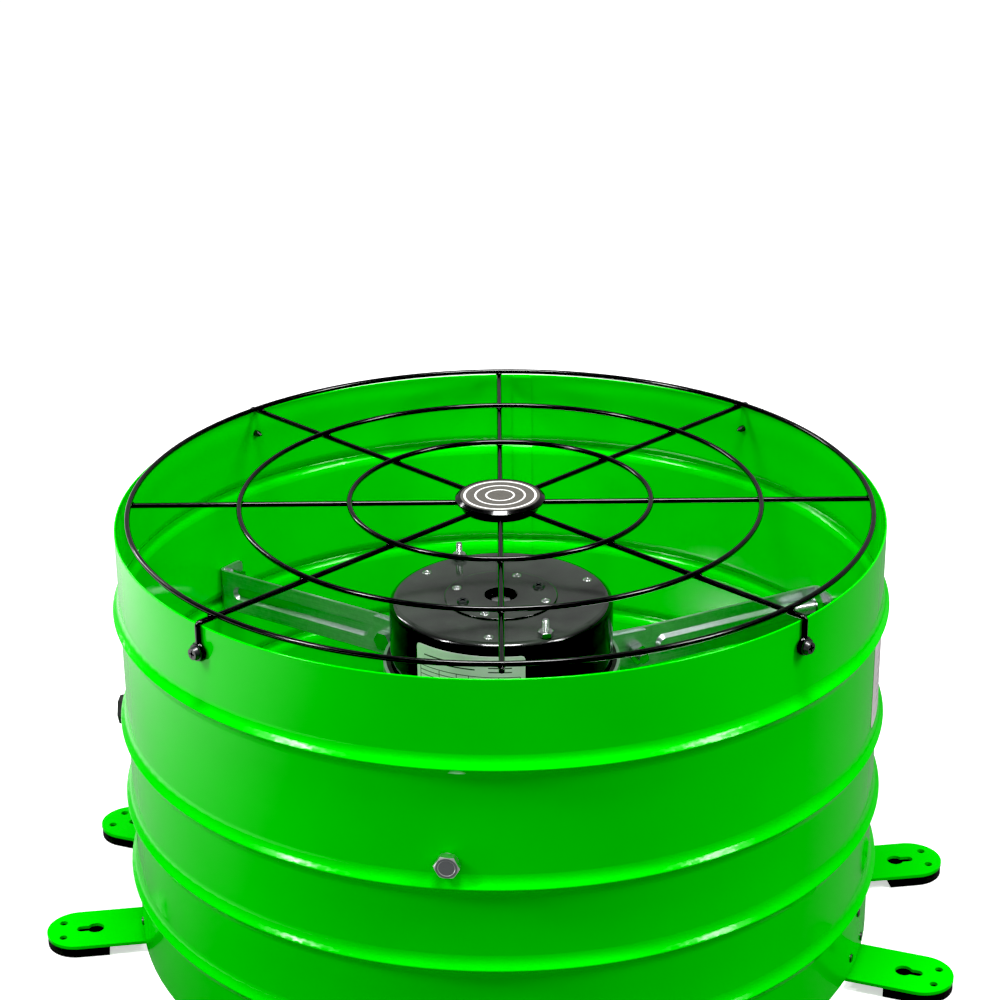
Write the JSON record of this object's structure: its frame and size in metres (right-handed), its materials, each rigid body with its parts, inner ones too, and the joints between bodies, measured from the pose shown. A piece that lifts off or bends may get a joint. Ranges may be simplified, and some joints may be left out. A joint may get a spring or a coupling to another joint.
{
  "type": "attic fan",
  "caption": "Round green steel attic fan: wire guard, hung motor with turning propeller, and keyhole feet on rubber pads.",
  "frame": {"origin": "middle of the underside of the rubber pads, on the fan's axis", "axes": "+Z along the fan's axis from the feet to the guard; +X toward one pair of feet"},
  "size_m": [0.5602, 0.4674, 0.2844],
  "materials": {
    "badge_plate": "grey satin plate, plain rings",
    "black_fastener": "black oxide steel",
    "black_nylon": "black nylon",
    "black_rubber": "matte black rubber",
    "black_wire": "glossy black coating on welded steel wire",
    "blade_aluminium": "mill finish aluminium sheet",
    "bright_steel": "ground steel",
    "copper_wire": "varnished copper wire",
    "galvanised": "galvanised sheet steel",
    "green_enamel": "glossy bright green baked enamel on steel sheet",
    "hub_casting": "zinc die casting",
    "label_film": "blank silver-grey film",
    "lamination": "stacked electrical steel",
    "motor_black": "glossy black enamel",
    "zinc_fastener": "bright zinc plated steel"
  },
  "bodies": {
    "fan": {"band_bolts": "zinc_fastener", "band_liner": "black_rubber", "band_nuts": "zinc_fastener", "band_segment_back": "galvanised", "band_segment_left": "galvanised", "band_segment_right": "galvanised", "cable_gland": "black_nylon", "foot_bracket_left_back": "green_enamel", "foot_bracket_left_front": "green_enamel", "foot_bracket_right_back": "green_enamel", "foot_bracket_right_front": "green_enamel", "foot_pads": "black_rubber", "foot_rivets": "black_fastener", "gland_locknut": "black_nylon", "guard_badge": "badge_plate", "guard_hub_bezel": "black_wire", "guard_hub_plate": "black_wire", "guard_ring_inner": "black_wire", "guard_ring_middle": "black_wire", "guard_ring_outer": "black_wire", "guard_screws": "black_fastener", "guard_spoke_0": "black_wire", "guard_spoke_1": "black_wire", "guard_spoke_2": "black_wire", "guard_spoke_3": "black_wire", "guard_spoke_4": "black_wire", "guard_spoke_5": "black_wire", "guard_spoke_6": "black_wire", "guard_spoke_7": "black_wire", "housing_lap_strip": "green_enamel", "housing_tube": "green_enamel", "motor_arm_front": "galvanised", "motor_arm_left": "galvanised", "motor_arm_right": "galvanised", "motor_bearings": "bright_steel", "motor_bell_rivets": "zinc_fastener", "motor_bottom_bell": "motor_black", "motor_centre_plate": "motor_black", "motor_label": "label_film", "motor_plate_rivets": "zinc_fastener", "motor_plate_screws": "black_fastener", "motor_shell": "motor_black", "motor_stud_nuts": "zinc_fastener", "motor_through_studs": "zinc_fastener", "motor_top_bell": "motor_black", "stator_core": "lamination", "stator_windings": "copper_wire", "wall_bolts": "zinc_fastener", "wall_nuts": "zinc_fastener", "wall_sticker": "label_film"},
    "rotor": {"hub_set_screw": "zinc_fastener", "motor_shaft": "bright_steel", "prop_blade_1": "blade_aluminium", "prop_blade_2": "blade_aluminium", "prop_blade_3": "blade_aluminium", "prop_blade_4": "blade_aluminium", "prop_hub": "hub_casting", "prop_rivets": "zinc_fastener", "prop_spider": "galvanised", "rotor_core": "lamination"}
  },
  "joints": [
    {"name": "rotor_spin", "type": "hinge", "parent": "fan", "child": "rotor", "pos_m": [0, 0, 0.075], "axis": [0, 0, 1], "continuous": true}
  ]
}
